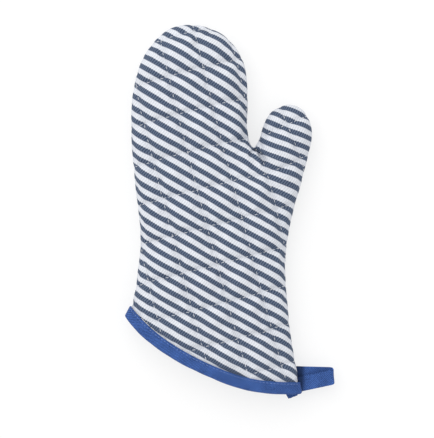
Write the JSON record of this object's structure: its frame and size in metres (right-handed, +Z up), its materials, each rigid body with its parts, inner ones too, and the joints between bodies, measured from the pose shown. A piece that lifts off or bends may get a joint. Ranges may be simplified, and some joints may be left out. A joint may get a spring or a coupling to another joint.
{
  "type": "oven mitt",
  "caption": "Quilted cloth oven mitt lying flat on its back, with a bound cuff, a separate thumb and a hanging loop.",
  "frame": {"origin": "on the table, under the middle of the palm, at the flat of the mitt's back", "axes": "+Z up from the table, out of the front of the mitt; +Y from the cuff to the fingertips; +X to the thumb side"},
  "size_m": [0.1874, 0.3362, 0.0392],
  "materials": {
    "cover": "matte striped cotton twill, slate blue and off-white, averaged",
    "wadding": "matte cotton wadding",
    "lining": "matte plain cotton",
    "seam": "matte sewn cloth edges",
    "tape": "matte blue cotton tape"
  },
  "bodies": {
    "palm": {"front_cover_palm": "cover", "front_wadding_palm": "wadding", "front_lining_palm": "lining", "back_cover_palm": "cover", "back_wadding_palm": "wadding", "back_lining_palm": "lining", "front_cover_knuckle_fold": "cover", "front_wadding_knuckle_fold": "wadding", "front_lining_knuckle_fold": "lining", "front_cover_thumb_fold": "cover", "front_wadding_thumb_fold": "wadding", "front_lining_thumb_fold": "lining", "seam_little_finger_side": "seam", "seam_index_side": "seam", "seam_wrist": "seam", "cuff_binding": "tape", "loop_tab": "tape"},
    "fingers": {"front_cover_fingers": "cover", "front_wadding_fingers": "wadding", "front_lining_fingers": "lining", "back_cover_fingers": "cover", "back_wadding_fingers": "wadding", "back_lining_fingers": "lining", "seam_fingertips": "seam"},
    "thumb": {"front_cover_thumb": "cover", "front_wadding_thumb": "wadding", "front_lining_thumb": "lining", "back_cover_thumb": "cover", "back_wadding_thumb": "wadding", "back_lining_thumb": "lining", "seam_thumb": "seam"},
    "loop": {"hanging_loop": "tape"}
  },
  "joints": [
    {"name": "finger_fold", "type": "hinge", "parent": "palm", "child": "fingers", "pos_m": [-0.022, 0.092, 0.016], "axis": [1, 0, 0], "range_deg": [0, 60], "stiffness_Nm_per_rad": 0.05, "deforming": ["front_cover_knuckle_fold", "front_wadding_knuckle_fold", "front_lining_knuckle_fold"]},
    {"name": "thumb_fold", "type": "hinge", "parent": "palm", "child": "thumb", "pos_m": [0.0332, 0.0642, 0.016], "axis": [0.258, -0.9661, 0], "range_deg": [0, 45], "stiffness_Nm_per_rad": 0.02, "deforming": ["front_cover_thumb_fold", "front_wadding_thumb_fold", "front_lining_thumb_fold"]},
    {"name": "loop_swing", "type": "hinge", "parent": "palm", "child": "loop", "pos_m": [0.0772, -0.144, 0.016], "axis": [0, -1, 0], "range_deg": [-12, 50], "stiffness_Nm_per_rad": 0.002}
  ]
}
